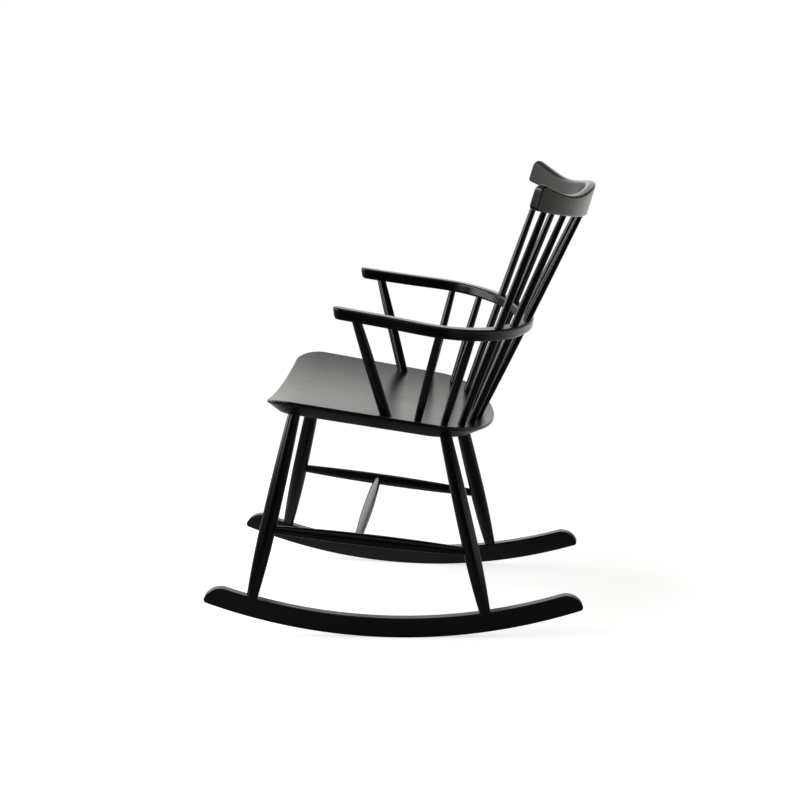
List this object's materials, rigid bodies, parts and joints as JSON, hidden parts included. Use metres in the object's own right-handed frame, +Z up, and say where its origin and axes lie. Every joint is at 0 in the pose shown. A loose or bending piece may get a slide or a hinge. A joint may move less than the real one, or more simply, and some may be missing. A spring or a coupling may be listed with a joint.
{
  "type": "rocking chair",
  "caption": "Black lacquered wooden rocking chair with a dished plank seat, a bent arm bow, a spindle back with a curved crest rail, turned legs with stretchers, and curved rockers.",
  "frame": {"origin": "on the floor, under the middle of the chair's overall box", "axes": "+Z up, -Y the way the sitter faces, +X to the sitter's left"},
  "size_m": [0.618, 0.7333, 0.8631],
  "materials": {
    "seat_lacquer": "black satin lacquer",
    "rail_lacquer": "black satin lacquer",
    "turned_lacquer": "black satin lacquer"
  },
  "bodies": {
    "root": {"seat": "seat_lacquer", "arm_bow": "rail_lacquer", "crest_rail": "rail_lacquer", "rocker_left": "rail_lacquer", "rocker_right": "rail_lacquer", "cross_stretcher": "turned_lacquer", "front_leg_left": "turned_lacquer", "rear_leg_left": "turned_lacquer", "side_stretcher_left": "turned_lacquer", "arm_post_left": "turned_lacquer", "short_spindle_front_left": "turned_lacquer", "short_spindle_rear_left": "turned_lacquer", "long_spindle_inner_left": "turned_lacquer", "long_spindle_middle_left": "turned_lacquer", "long_spindle_outer_left": "turned_lacquer", "front_leg_right": "turned_lacquer", "rear_leg_right": "turned_lacquer", "side_stretcher_right": "turned_lacquer", "arm_post_right": "turned_lacquer", "short_spindle_front_right": "turned_lacquer", "short_spindle_rear_right": "turned_lacquer", "long_spindle_inner_right": "turned_lacquer", "long_spindle_middle_right": "turned_lacquer", "long_spindle_outer_right": "turned_lacquer"}
  },
  "joints": []
}
